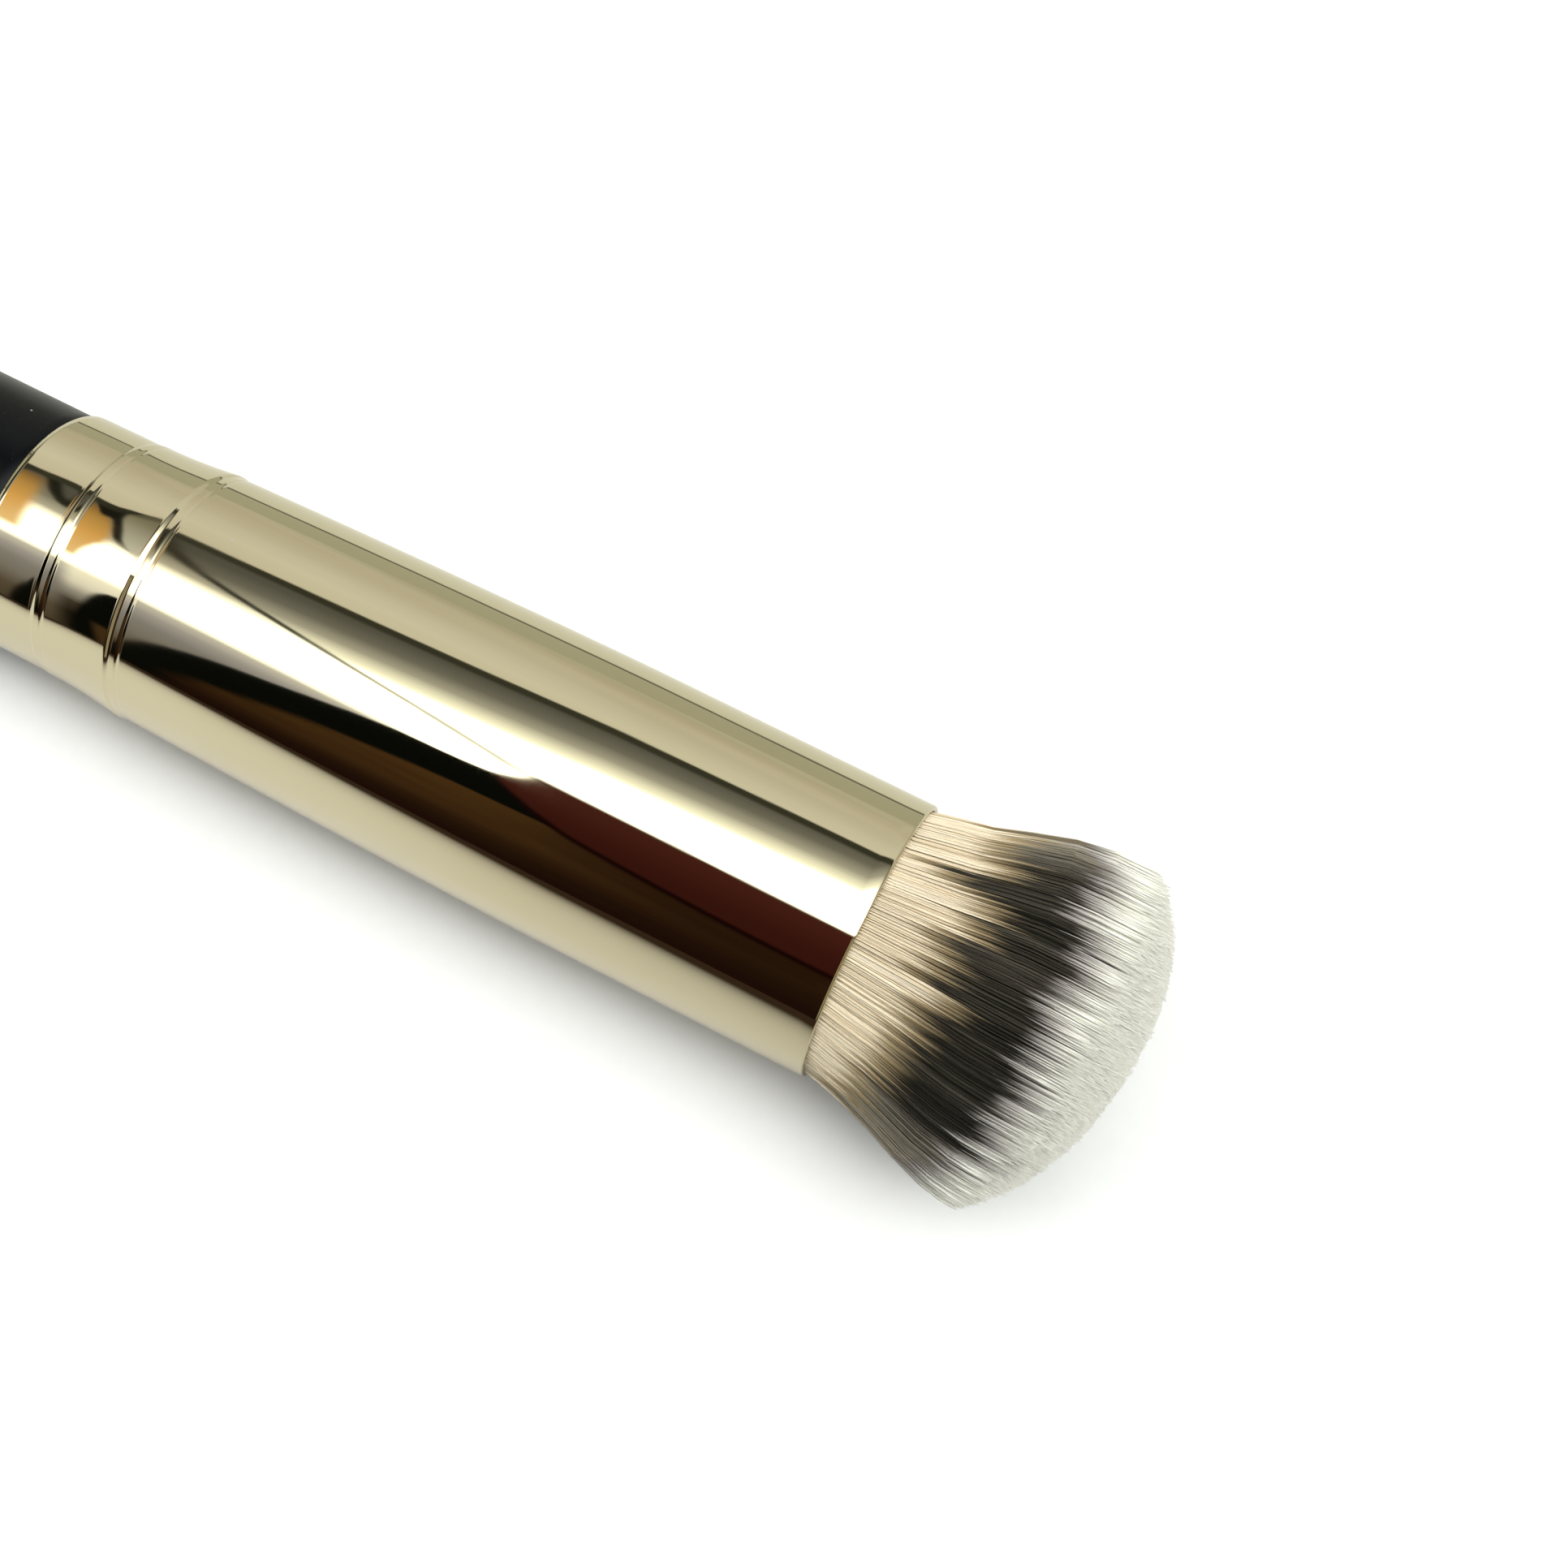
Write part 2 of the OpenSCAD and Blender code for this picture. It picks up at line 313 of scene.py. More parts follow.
# %% [markdown]
# ## Champagne-gold plating
#
# The ferrule is a drawn tube, polished and plated in a pale warm gold. Nearly all of its look is what
# it mirrors, so the material is a metal with a low roughness. What gives it away as real metal is
# slight: drawing lines along the tube, blotches of a duller gloss from handling, and a few specks.

# %% Plated metal
plating, tree, shader, place = new_material("plated_brass")
dull = marked(tree, place, 70.0)
lines = node(tree, "ShaderNodeMapping", {"Vector": place, "Scale": (0.03, 1, 1)})
drawn = node(tree, "ShaderNodeTexNoise", {"Vector": lines.outputs[0], "Scale": 2600.0, "Detail": 3.0})
dust = specked(tree, place, 700.0, 0.035, 0.07)
gloss = step(tree, dull, 0.0, 1.0, 0.028, 0.055)
gloss = math(tree, "ADD", gloss, math(tree, "MULTIPLY", drawn.outputs["Fac"], 0.015))
gloss = math(tree, "ADD", gloss, math(tree, "MULTIPLY", dust, 0.3))
warm = mix(tree, dull, (0.605, 0.560, 0.380), (0.590, 0.540, 0.362))
ripple = node(
    tree,
    "ShaderNodeBump",
    {"Height": drawn.outputs["Fac"], "Strength": 0.04, "Distance": 0.00002},
)
shader.inputs["Metallic"].default_value = 1.0
tree.links.new(mix(tree, dust, warm, (0.72, 0.70, 0.66)), shader.inputs["Base Color"])
tree.links.new(gloss, shader.inputs["Roughness"])
tree.links.new(ripple.outputs[0], shader.inputs["Normal"])
count_nodes(plating.name, tree)

# %% [markdown]
# ## Ferrule
#
# From the handle the tube widens through a collar, a first crimp, a neck that swells into a shoulder,
# a second crimp and a long taper to a straight barrel. The crimps are rolled in: two grooves with a
# bead between them, slightly uneven round the tube. The mouth's edge is rolled round. The outline is
# one closed line, outside and back through the bore, so the wall has its real thickness.

# %% Ferrule outline
BARREL, TAPER, CRIMP_GAP, COLLAR = 20.0, 33.6, 6.3, 5.3  # lengths in mm, from the mouth backwards
BARREL_R, CRIMP_R, SHOULDER_R, NECK_R, COLLAR_R = 10.0, 9.32, 9.42, 8.96, 8.835
SHOULDER_GAP = 0.35
WALL = 0.4
HALF_WALL = WALL / 2
CRIMP_REACH = 0.9  # how far the fine grid goes on either side of a crimp
GROOVES = [(-0.22, 0.5, 0.028), (0.6, 0.45, 0.018)]  # place in the crimp, width and depth
REAR, REAR_R = 0.15, 8.6  # the rounded edge at the handle: how deep, and the middle of its wall
crimp_2 = -BARREL - TAPER
crimp_1 = crimp_2 - CRIMP_GAP
joint = crimp_1 - COLLAR
shoulder = crimp_2 - SHOULDER_GAP
print("crimps at", round(crimp_1, 2), "and", round(crimp_2, 2), "mm, joint at", round(joint, 2), "mm")


def tube_radius(x):
    """Radius of the drawn tube, part by part.

    The collar flares and rises just before the first crimp, the neck swells with a power of the way
    to the shoulder, its top eases down to the second crimp, and the taper runs out level.
    """
    flare = 0.055 * (1 - (1 - between(x, joint, crimp_1)) ** 2.4)
    rise = 0.07 * ease((x - crimp_1 + 0.5) / 0.5)
    collar = COLLAR_R + flare + rise
    neck = NECK_R + (SHOULDER_R - NECK_R) * between(x, crimp_1, shoulder) ** 1.8
    top = SHOULDER_R - (SHOULDER_R - CRIMP_R) * ease(between(x, shoulder, crimp_2))
    taper = BARREL_R - (BARREL_R - CRIMP_R) * (1 - between(x, crimp_2, -BARREL)) ** 1.5
    front = np.where(x < crimp_2, top, taper)
    return np.where(x < crimp_1, collar, np.where(x < shoulder, neck, front))


def groove(x, middle, width, depth):
    """One rolled groove: a smooth bump of a cosine, so that both of its edges run out level."""
    return depth * ease(1 - 2 * np.abs(x - middle) / width)


def crimp(x, middle):
    """A crimp: a wide groove, a bead that keeps the full height, and a finer groove."""
    return sum(groove(x, middle + at, width, depth) for at, width, depth in GROOVES)


def close_places(start, end, count):
    """Places evenly spaced from start up to, but not including, end."""
    return np.linspace(start, end, count, endpoint=False)


outer_x = np.concatenate(
    [
        close_places(joint + REAR, crimp_1 - CRIMP_REACH, 12),
        close_places(crimp_1 - CRIMP_REACH, crimp_1 + CRIMP_REACH, 40),
        close_places(crimp_1 + CRIMP_REACH, crimp_2 - CRIMP_REACH, 30),
        close_places(crimp_2 - CRIMP_REACH, crimp_2 + CRIMP_REACH, 40),
        close_places(crimp_2 + CRIMP_REACH, -BARREL, 60),
        np.linspace(-BARREL, -LIP, 24),
    ]
)
outer_r = tube_radius(outer_x) - crimp(outer_x, crimp_1) - crimp(outer_x, crimp_2)
outside = np.stack([outer_x, outer_r], -1)
bend = np.radians(np.arange(15, 181, 15))
lip_r = BARREL_R - HALF_WALL + HALF_WALL * np.cos(bend)
lip = np.stack([-LIP + HALF_WALL * np.sin(bend), lip_r], -1)
inner_x = np.linspace(-LIP - 0.1, joint + REAR, 40)
bore = np.stack([inner_x, tube_radius(inner_x) - WALL], -1)
back_bend = np.radians(np.arange(0, 181, 20))
rear_x = joint + REAR - REAR * np.sin(back_bend)
rear = np.stack([rear_x, REAR_R - HALF_WALL * np.cos(back_bend)], -1)
ferrule_outline = np.concatenate([outside, lip, bore, rear])
UNEVEN = 0.004


def rolled(x, angle):
    """Unevenness of the tube: crimps pressed a little deeper in places, and a faint swell of the neck."""
    at_1, at_2 = (np.exp(-(((x - c) / 0.6) ** 2)) for c in (crimp_1, crimp_2))
    uneven = UNEVEN * at_1 * np.sin(5 * angle + 0.6) + UNEVEN * at_2 * np.sin(7 * angle + 2.1)
    neck = np.exp(-(((x - (crimp_1 + crimp_2) / 2) / 3.0) ** 2))
    return uneven + UNEVEN * neck * np.sin(3 * angle + 1.0)


# %% Make the ferrule
FERRULE_SIDES = 256
points = turned(ferrule_outline, FERRULE_SIDES, rolled)
faces = grid_faces(len(ferrule_outline), FERRULE_SIDES, close_rows=True)
ferrule = make_piece("ferrule_tube", points, [faces], plating)
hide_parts("ferrule")

# %% [markdown]
# ## Black lacquer
#
# The handle is turned wood under a satin black lacquer with a cold, bluish depth. Satin means that it
# mirrors light only as a broad soft glow, so the roughness is high. Sprayed lacquer also has a very
# fine orange peel, and a dark handle shows every speck of dust.

# %% Lacquer material
lacquer, tree, shader, place = new_material("black_lacquer")
dull = marked(tree, place, 110.0)
peel = node(tree, "ShaderNodeTexNoise", {"Vector": place, "Scale": 1500.0, "Detail": 2.0})
dust = specked(tree, place, 800.0, 0.06, 0.07)
pearl = specked(tree, place, 5200.0, 0.10, 0.3)
deep = mix(tree, peel.outputs["Fac"], (0.0006, 0.0011, 0.0018), (0.0014, 0.0024, 0.0036))
deep = mix(tree, pearl, deep, (0.007, 0.012, 0.017))
gloss = step(tree, dull, 0.0, 1.0, 0.30, 0.38)
gloss = math(tree, "ADD", gloss, math(tree, "MULTIPLY", dust, 0.4))
skin = node(
    tree,
    "ShaderNodeBump",
    {"Height": peel.outputs["Fac"], "Strength": 0.12, "Distance": 0.00003},
)
tree.links.new(mix(tree, dust, deep, (0.30, 0.30, 0.31)), shader.inputs["Base Color"])
tree.links.new(gloss, shader.inputs["Roughness"])
tree.links.new(skin.outputs[0], shader.inputs["Normal"])
shader.inputs["Specular IOR Level"].default_value = 0.12
count_nodes(lacquer.name, tree)

# %% [markdown]
# ## Handle
#
# The lacquer is a thin shell over the wooden core. Where it runs into the ferrule its edge is rounded
# over, because paint pulls back from an edge as it dries. The far end closes in a rounded nose that
# ends in one point on the axis. The outline starts inside the nose and comes back along the outside,
# so the faces of its grid are turned round to point outwards.

# %% Make the handle's shell
GRIP, NOSE, HANDLE = 12.0, 4.4, 88.0
GRIP_R, END_R, COAT = 8.6, 4.7, 0.10
grip_end = joint - GRIP
nose_start = joint - HANDLE + NOSE


def handle_radius(x):
    """Radius of the handle: straight at the grip, then eased down to its slim end."""
    return GRIP_R - (GRIP_R - END_R) * ease(between(x, grip_end, nose_start))


def arc(depth, radius, count):
    """A quarter of an ellipse behind the nose's start, from the body to just before the axis."""
    bend = np.radians(np.linspace(0, 90, count, endpoint=False))
    return np.stack([nose_start - depth * np.sin(bend), radius * np.cos(bend)], -1)


SIDES = 128
body_x = np.linspace(joint - 0.08, nose_start, 110)[:-1]
body = np.stack([body_x, handle_radius(body_x)], -1)
edge = np.array([[joint + 0.02, 8.50], [joint - 0.01, 8.545], [joint - 0.04, 8.58]])
inside_x = np.linspace(nose_start, joint + 0.02, 40)[1:-1]
inner = np.stack([inside_x, handle_radius(inside_x) - COAT], -1)
inner_nose = arc(NOSE - COAT, END_R - COAT, 14)[::-1]
shell_outline = np.concatenate([inner_nose, inner, edge, body, arc(NOSE, END_R, 24)])
poles = laid([[nose_start - NOSE + COAT, 0, 0], [nose_start - NOSE, 0, 0]])
points = np.concatenate([turned(shell_outline, SIDES), poles])
first = np.arange(SIDES)
after = (first + 1) % SIDES
last = (len(shell_outline) - 1) * SIDES
fans = [
    np.stack([first, after, np.full(SIDES, len(points) - 2)], -1),
    np.stack([last + after, last + first, np.full(SIDES, len(points) - 1)], -1),
]
faces = [grid_faces(len(shell_outline), SIDES)[:, ::-1], *fans]
handle = make_piece("handle_shell", points, faces, lacquer)
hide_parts("handle_lacquer")

# %% [markdown]
# ## Inside the brush
#
# Four pieces are out of sight: the wooden core with its tenon, the glue round it, the potting that
# holds the fibre roots, and the thread wound round them. Their CAD shapes are right, so they stay, and
# each gets its own material for anyone who opens the brush up.

# %% Turned wood: grain is noise stretched along the handle, with a ripple of rings across it
wood, tree, shader, place = new_material("bare_wood")
grain_place = node(tree, "ShaderNodeMapping", {"Vector": place, "Scale": (0.06, 1, 1)})
grain = node(
    tree,
    "ShaderNodeTexNoise",
    {"Vector": grain_place.outputs[0], "Scale": 900.0, "Detail": 5.0, "Distortion": 0.4},
)
rings = node(
    tree,
    "ShaderNodeTexWave",
    {"Vector": grain_place.outputs[0], "Scale": 160.0, "Distortion": 3.0, "Detail": 2.0},
    bands_direction="Y",
)
tone = math(tree, "MULTIPLY", grain.outputs["Fac"], 0.6)
tone = math(tree, "ADD", tone, math(tree, "MULTIPLY", rings.outputs["Fac"], 0.4))
tree.links.new(mix(tree, tone, (0.62, 0.43, 0.25), (0.36, 0.21, 0.10)), shader.inputs["Base Color"])
tree.links.new(step(tree, tone, 0, 1, 0.55, 0.72), shader.inputs["Roughness"])
pores = node(tree, "ShaderNodeBump", {"Height": tone, "Strength": 0.3, "Distance": 0.00005})
tree.links.new(pores.outputs[0], shader.inputs["Normal"])
count_nodes(wood.name, tree)

# %% Glue and potting: clear and amber resins with small bubbles and a slight cloudiness


def resin(name, thin, thick, roughness):
    """A cast resin: a colour that clouds over in patches, with bubbles as small pits."""
    material, tree, shader, place = new_material(name)
    cloud = marked(tree, place, 300.0)
    bubbles = specked(tree, place, 1400.0, 0.25, 0.25)
    tree.links.new(mix(tree, cloud, thin, thick), shader.inputs["Base Color"])
    tree.links.new(step(tree, bubbles, 0, 1, roughness, roughness + 0.3), shader.inputs["Roughness"])
    pits = node(tree, "ShaderNodeBump", {"Height": bubbles, "Strength": 0.4, "Distance": 0.00006})
    pits.invert = True
    tree.links.new(pits.outputs[0], shader.inputs["Normal"])
    shader.inputs["Coat Weight"].default_value = 0.3
    count_nodes(name, tree)
    return material


glue = resin("clear_glue", (0.62, 0.57, 0.42), (0.72, 0.69, 0.58), 0.25)
potting = resin("amber_potting", (0.46, 0.22, 0.05), (0.58, 0.34, 0.12), 0.2)

# %% Cotton thread: bands of twist across the winding
thread, tree, shader, place = new_material("cotton_thread")
twist = node(
    tree,
    "ShaderNodeTexWave",
    {"Vector": place, "Scale": 900.0, "Distortion": 1.2, "Detail": 2.0},
    bands_direction="DIAGONAL",
)
fuzz = node(tree, "ShaderNodeTexNoise", {"Vector": place, "Scale": 9000.0, "Detail": 3.0})
tone = math(tree, "MULTIPLY", twist.outputs["Fac"], fuzz.outputs["Fac"])
tree.links.new(mix(tree, tone, (0.52, 0.49, 0.42), (0.86, 0.83, 0.76)), shader.inputs["Base Color"])
tree.links.new(step(tree, tone, 0, 1, 0.85, 0.7), shader.inputs["Roughness"])
plies = node(tree, "ShaderNodeBump", {"Height": tone, "Strength": 0.6, "Distance": 0.00008})
tree.links.new(plies.outputs[0], shader.inputs["Normal"])
count_nodes(thread.name, tree)

# %% Give the hidden nodes their finishes
inside_finishes = {
    "handle_core": wood,
    "tenon_glue": glue,
    "root_plug": potting,
    "binding_thread": thread,
}
for name, material in inside_finishes.items():
    mesh = frame["nodes"][name].data
    mesh.materials.clear()
    mesh.materials.append(material)
print("inside:", sorted(inside_finishes))

# %% [markdown]
# ## Dyed fibres
#
# Each fibre is cream at the root, dyed dark for a few millimetres, and pale again at its tapered tip.
# The dye bath leaves ragged borders, because the fibres were not dipped exactly alike. Every point
# knows how far it is from its fibre's tip, and every fibre has four values of its own: where its two
# borders lie, how much dye it took, and its tone. The material turns those numbers into colour, so
# one material does for all fibres.

# %% Fibre material
fibre, tree, shader, _ = new_material("dyed_fibre")


def stored(name):
    """A number stored on the fibres' points."""
    return node(tree, "ShaderNodeAttribute", attribute_name=name).outputs["Fac"]


from_tip, tone = stored("from_tip"), stored("tone")
low, high, dye = stored("low_border"), stored("high_border"), stored("dye")
past_low = math(tree, "SUBTRACT", from_tip, low)
past_high = math(tree, "SUBTRACT", from_tip, high)
cream = mix(tree, tone, (0.80, 0.67, 0.45), (0.92, 0.84, 0.665))
brown = mix(tree, tone, (0.28, 0.205, 0.105), (0.46, 0.37, 0.215))
black = mix(tree, tone, (0.002, 0.0019, 0.0012), (0.013, 0.012, 0.008))
dark = mix(tree, dye, mix(tree, tone, (0.22, 0.185, 0.12), (0.56, 0.515, 0.41)), black)
violet = mix(tree, tone, (0.17, 0.155, 0.145), (0.36, 0.335, 0.31))
pale = mix(tree, tone, (0.968, 0.970, 0.850), (0.995, 0.996, 0.925))
colour = mix(tree, step(tree, past_low, 2.4, 0.3), cream, brown)
colour = mix(tree, step(tree, past_low, 0.9, -1.8), colour, dark)
colour = mix(tree, step(tree, past_high, 1.4, 0.0), colour, violet)
colour = mix(tree, step(tree, past_high, 1.0, -2.7), colour, pale)
tree.links.new(colour, shader.inputs["Base Color"])
tree.links.new(step(tree, tone, 0, 1, 0.42, 0.55), shader.inputs["Roughness"])
shader.inputs["Specular IOR Level"].default_value = 0.05
shader.inputs["Sheen Weight"].default_value = 0.015
shader.inputs["Sheen Roughness"].default_value = 0.5
shader.inputs["Sheen Tint"].default_value = (1.0, 0.98, 0.88, 1.0)
count_nodes(fibre.name, tree)

# %% [markdown]
# ## Bristle head
#
# The head is thousands of fibres, each a thin three-sided tube that tapers at its tip. They start deep
# in the ferrule, swell over its lip, flare to the rim and end on a dome that is a little longer on one
# side. Their seats are spread like the seeds of a sunflower, which fills a circle evenly. Neighbours
# draw together into fine locks towards their tips, and the table presses the lowest ones up. A flat
# map gives every fibre a strip of its own, which lets its colours be baked into a picture later.

# %% Seats of the fibres and the locks that they gather in
random = np.random.default_rng(7)
FIBRES, LOCKS, CLUMPS, SECTIONS = 43000, 4200, 520, 10
GOLDEN = np.pi * (3 - np.sqrt(5))


def seeds(count, jitter):
    """Sunflower points in a unit circle: the root of the number outwards, the golden angle round."""
    i = np.arange(count)
    share, turn = np.sqrt((i + 0.5) / count), i * GOLDEN
    spots = np.stack([share * np.cos(turn), share * np.sin(turn)], -1)
    return spots + random.normal(0, jitter, spots.shape)


seats = seeds(FIBRES, 0.006)
seats /= np.maximum(1, np.linalg.norm(seats, axis=1, keepdims=True))
locks, clumps = seeds(LOCKS, 0.012), seeds(CLUMPS, 0.02)


def nearest(spots, middles):
    """For each spot the number of the nearest middle, worked out a few hundred spots at a time."""
    numbers = []
    for part in np.array_split(spots, 60):
        squares = ((part[:, None] - middles[None]) ** 2).sum(-1)
        numbers.append(np.argmin(squares, 1))
    return np.concatenate(numbers)


own_lock, own_clump = nearest(seats, locks), nearest(seats, clumps)
print(FIBRES, "fibres in", LOCKS, "locks and", CLUMPS, "clumps")

# %% Shape of the bundle
MOUTH_R, BULGE, HEAD_R, FLARE = 9.52, 0.33, 12.66, 12.4
RIM, DOME, DOME_POWER = 13.6, 4.45, 2.8
SLANT_Y, SLANT_Z = 0.052, 0.2
LEAN = -0.025  # how far the bundle leans to the front for each mm of its length
START = -4.0  # how deep in the ferrule the fibres start


def bundle_radius(x):
    """Radius of the bundle: held by the bore, then bulging over the lip and eased out to the rim."""
    bulge = BULGE * ease(between(x, -0.2, 1.6))
    return MOUTH_R + bulge + (HEAD_R - MOUTH_R - BULGE) * ease(between(x, 0.0, FLARE))


def tip_place(share, y, z):
    """Where a fibre ends: rim, a dome that falls off with a power of the share, and the slant."""
    return RIM + DOME * (1 - share**DOME_POWER) + SLANT_Y * y + SLANT_Z * z


share = np.linalg.norm(seats, axis=1)
heading = np.arctan2(seats[:, 1], seats[:, 0])
tips = tip_place(share, *(seats.T * HEAD_R)) + (0.09 + 0.09 * share**3) * random.normal(0, 1, FIBRES)
lock_tip, lock_tone, lock_low, lock_high, lock_dye = random.normal(0, 1, (LOCKS, 5))[own_lock].T
clump_low, clump_high, clump_dye = random.normal(0, 1, (CLUMPS, 3))[own_clump].T
far = np.cos(heading)  # 1 on the side that faces away from the camera, -1 on the near side
worn = 0.15 * np.abs(lock_tone) + 0.25 * np.clip(far, 0, 1)
tips += 0.07 * lock_tip - share**9 * worn

# %% Paths: every fibre as rings along its length, all at once
GATHER, SCATTER = 0.22, 0.012  # how far tips draw to the middle of their lock, and how far they stray
TABLE_GAP, SPARE = 0.12, 0.25  # air left above the table, and room for fibres outside the bundle


def fibre_paths(chosen, places):
    """Middles of the fibres' rings, fibre by fibre, for places from 0 at the root to 1 at the tip."""
    seat, tip = seats[chosen][:, None], tips[chosen][:, None]
    x = START + (tip - START) * places[None]
    free = np.clip(x / tip, 0, 1)[..., None]
    to_lock = locks[own_lock[chosen]][:, None] - seat
    strayed = SCATTER * free**1.5 * random.normal(0, 1, seat.shape)
    spot = seat + GATHER * free**2 * to_lock + strayed
    wide = spot * bundle_radius(x)[..., None]
    wide[..., 0] += LEAN * np.clip(x, 0, None)
    return np.concatenate([x[..., None], wide], -1)


def pressed(path):
    """The table squeezes what lies below the axis: each upright column shrinks until it fits."""
    x, y, z = np.moveaxis(path, -1, 0)
    room = (mouth[2] + x * along[2]) / upward[2] - TABLE_GAP
    radius = bundle_radius(x) + SPARE
    deep = np.sqrt(np.maximum(radius**2 - (y - LEAN * x) ** 2, 1.0))
    z = np.where(z < 0, z * np.minimum(1, room / deep), z)
    return np.stack([x, y, z], -1)


# %% Tubes: three corners round each ring, thinning to the tip
WIDTH = 0.056  # radius of a fibre where it is thickest


def fibre_tubes(chosen, places):
    """Closed fibres: points, three-sided faces, distances of the points from the tips, and a flat map.

    The flat map gives each fibre an upright strip: its three sides next to each other, root to tip.
    """
    rings, count = len(places), len(chosen)
    path = pressed(fibre_paths(chosen, places))
    from_tip = (1 - places)[None] * (tips[chosen] - START)[:, None]
    thin = WIDTH * (0.88 + 0.24 * random.random(count))[:, None] * np.clip(0.4 + from_tip / 2.2, 0, 1)
    turn = random.random(count)[:, None] * 2 * np.pi + np.arange(3)[None] * 2 * np.pi / 3
    corner = np.stack([np.zeros_like(turn), np.cos(turn), np.sin(turn)], -1)
    points = path[:, :, None] + thin[:, :, None, None] * corner[:, None]
    ring, side = np.meshgrid(np.arange(rings - 1), np.arange(3), indexing="ij")
    a, b, c, d = (ring, side), (ring, side + 1), (ring + 1, side + 1), (ring + 1, side)
    sides = np.array([np.stack(spot, -1) for spot in (a, b, c, a, c, d)])
    sides = sides.transpose(1, 2, 0, 3).reshape(-1, 3, 2)
    ends = np.array([[[0, 2], [0, 1], [0, 0]], [[rings - 1, 0], [rings - 1, 1], [rings - 1, 2]]])
    pattern = np.concatenate([sides, ends])
    index = pattern[..., 0] * 3 + pattern[..., 1] % 3
    faces = np.arange(count)[:, None, None] * rings * 3 + index[None]
    flat = np.stack([pattern[..., 1] / 3, places[pattern[..., 0]]], -1)
    flat = np.broadcast_to(flat[None], (count, *flat.shape))
    distances = np.repeat(from_tip.ravel(), 3)
    return points.reshape(-1, 3), faces.reshape(-1, 3), distances, flat.reshape(count, -1, 2)


COLUMNS = 500


def strips(flats):
    """Places every fibre's strip in the unit square: COLUMNS strips beside each other, in rows."""
    rows = -(-sum(len(flat) for flat in flats) // COLUMNS)
    laid_out, start = [], 0
    for flat in flats:
        k = start + np.arange(len(flat))
        cell = np.stack([k % COLUMNS, k // COLUMNS], -1)[:, None]
        laid_out.append(((cell + 0.05 + 0.9 * flat) / (COLUMNS, rows)).reshape(-1, 2))
        start += len(flat)
    return np.concatenate(laid_out)


# %% [markdown]
# ## Streaks of the dye
#
# The dark band is not even on a real head. A lock takes up more or less dye as one, a clump of locks
# lets the borders wander, and on both flanks the band breaks up into brown streaks. So each border is a
# sum: a broad wave round the head, the flanks, the lock, the clump and the fibre itself. A few stray
# locks and fibres carry a weak brown streak far into the cream.

# %% Borders, tone and dye of every fibre
near_edge = between(-far, 0.84, 1.0)
flank = (between(far, 0.45, 0.87) ** 1.8 + 0.85 * near_edge**1.3) * share**4
wave = np.cos(2 * (heading - np.radians(60)))
tone_of = 0.55 + 0.08 * random.normal(0, 1, FIBRES) + (0.15 + 0.3 * flank) * lock_tone
tone_of = np.clip(tone_of, 0, 1)
low_of = 9.65 + 0.55 * wave - 1.2 * between(far, 0.5, 0.7) + 0.5 * near_edge
low_of += 0.35 * random.normal(0, 1, FIBRES) + 0.6 * lock_low + 0.8 * clump_low
stray = (random.random(FIBRES) < 0.002) | (lock_dye > 2.35)
low_of += 4.0 * stray
high_of = 2.75 + 0.9 * wave + 1.7 * between(far, 0.72, 0.84) + 1.1 * near_edge
high_of += 0.25 * random.normal(0, 1, FIBRES) + 0.45 * lock_high + 0.55 * clump_high
high_of = np.maximum(high_of, 0.9) + 1.8 * ease(between(share, 0.98, 0.7))
undyed = flank * np.clip(0.85 + 0.2 * lock_high, 0.4, 0.96)
dye_of = 1.0 - undyed - 0.03 * np.abs(random.normal(0, 1, FIBRES))
dye_of -= 0.035 * np.abs(lock_dye) + 0.035 * np.abs(clump_dye) + 0.7 * stray
dye_of = np.clip(dye_of, 0, 1)
print("dark band from", high_of.mean().round(2), "to", low_of.mean().round(2), "mm behind the tips")

# %% Make the head in sections, because one mesh of all fibres would be too heavy to handle
INNER = np.array([0.0, 0.6, 0.9, 1.0])
OUTER = np.array([0.0, 0.21, 0.30, 0.42, 0.56, 0.70, 0.84, 0.93, 1.0])
SHOWING = 0.84  # fibres seated beyond this share of the radius show from the side and need more rings
LOWEST = 0.00002
section_of = np.floor((heading / (2 * np.pi) % 1) * SECTIONS).astype(int)
for section in range(SECTIONS):
    here = section_of == section
    parts = [
        (np.flatnonzero(here & (share > SHOWING)), OUTER),
        (np.flatnonzero(here & (share <= SHOWING)), INNER),
    ]
    made = zip(*[fibre_tubes(chosen, places) for chosen, places in parts])
    part_points, part_faces, distances, flats = made
    points = laid(np.concatenate(part_points))
    points[:, 2] = np.maximum(points[:, 2], LOWEST)
    faces = [part_faces[0], part_faces[1] + len(part_points[0])]
    piece = make_piece(f"bristles_{section + 1}", points, faces, fibre)
    owner = np.concatenate([np.repeat(chosen, len(places) * 3) for chosen, places in parts])
    numbers = {
        "from_tip": np.concatenate(distances),
        "tone": tone_of[owner],
        "low_border": low_of[owner],
        "high_border": high_of[owner],
        "dye": dye_of[owner],
    }
    for name, values in numbers.items():
        stored_on = piece.data.attributes.new(name, "FLOAT", "POINT")
        stored_on.data.foreach_set("value", values.astype(np.float32))
    flat_map = piece.data.uv_layers.new(name="OFBake")
    flat_map.uv.foreach_set("vector", strips(flats).astype(np.float32).ravel())
    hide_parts("bristle_tuft")
